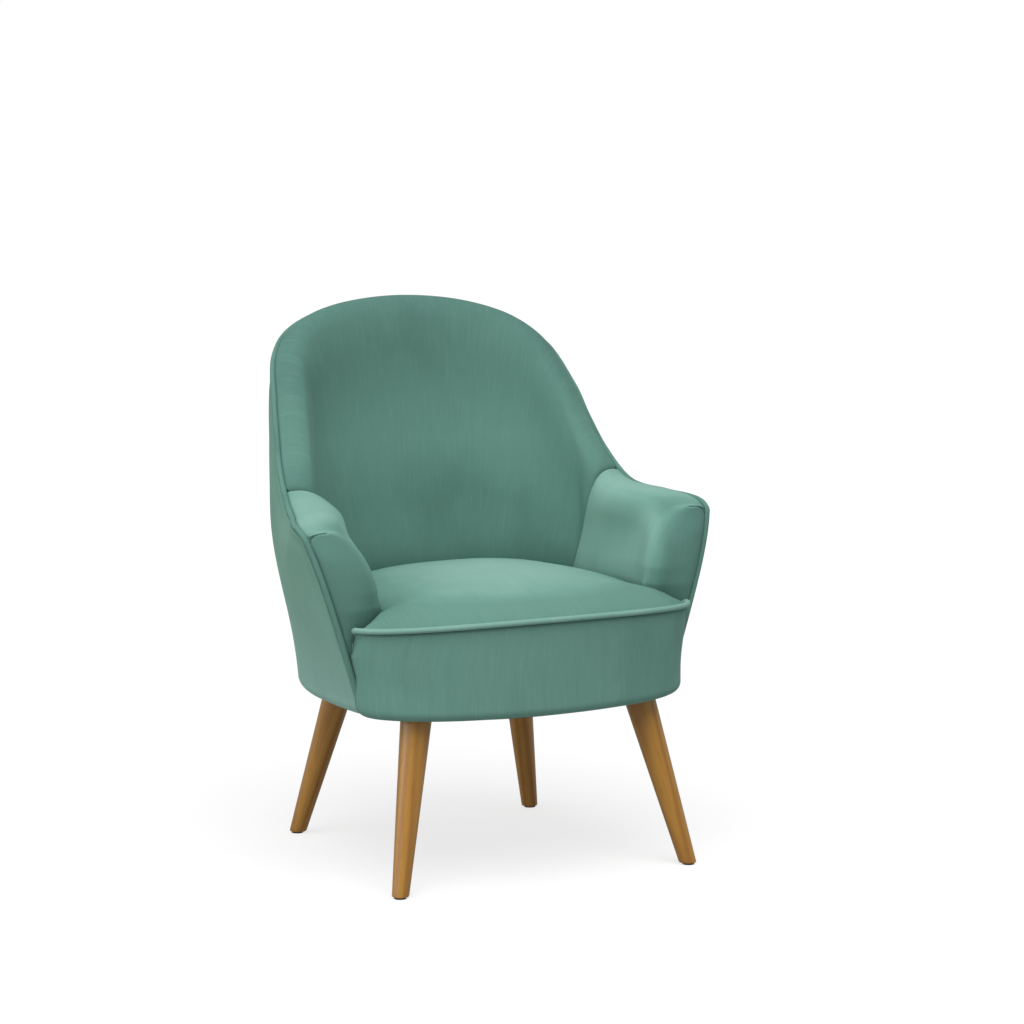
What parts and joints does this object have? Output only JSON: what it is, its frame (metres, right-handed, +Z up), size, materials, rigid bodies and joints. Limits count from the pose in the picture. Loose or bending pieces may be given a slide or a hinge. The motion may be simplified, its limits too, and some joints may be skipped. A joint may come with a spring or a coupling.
{
  "type": "tub chair",
  "caption": "Upholstered tub chair with a high curved back, short padded arms, a bowed seat and splayed round wooden legs.",
  "frame": {"origin": "on the floor under the middle of the chair's box", "axes": "+Z up; the chair faces -Y, so its back is at +Y; +X is to the right seen from the front, and the chair is the same left and right"},
  "size_m": [0.6878, 0.6121, 0.84],
  "materials": {
    "velvet": "sage green velvet, brushed nap",
    "velvet_piping": "piping cord in the same velvet",
    "leg_wood": "honey brown satin varnish, grain along the leg",
    "frame_wood": "plain sawn beech",
    "glide": "moulded black nylon",
    "steel": "zinc plated",
    "hessian": "woven jute",
    "webbing": "black elastic webbing",
    "foam": "polyurethane foam",
    "dust_cloth": "black nonwoven"
  },
  "bodies": {
    "root": {"leg_front_left": "leg_wood", "leg_front_right": "leg_wood", "leg_back_left": "leg_wood", "leg_back_right": "leg_wood", "foot_glides": "glide", "hanger_bolts": "steel", "tee_nuts": "steel", "corner_blocks": "frame_wood", "block_screws": "steel", "front_rail": "frame_wood", "rear_rail": "frame_wood", "side_rail_left": "frame_wood", "side_rail_right": "frame_wood", "arm_post_left": "frame_wood", "arm_post_right": "frame_wood", "arm_rail_left": "frame_wood", "arm_rail_right": "frame_wood", "back_post_left": "frame_wood", "back_post_right": "frame_wood", "back_hoop": "frame_wood", "arm_panel_left": "hessian", "arm_panel_right": "hessian", "back_webbing": "webbing", "seat_springs": "steel", "spring_clips": "steel", "seat_hessian": "hessian", "seat_foam": "foam", "back_foam": "foam", "arm_foam_left": "foam", "arm_foam_right": "foam", "seat_cover": "velvet", "seat_border": "velvet", "inside_back_cover": "velvet", "arm_cover_left": "velvet", "arm_cover_right": "velvet", "outside_cover": "velvet", "shell_piping": "velvet_piping", "seat_piping": "velvet_piping", "dust_cover": "dust_cloth", "dust_cover_staples": "steel"}
  },
  "joints": []
}
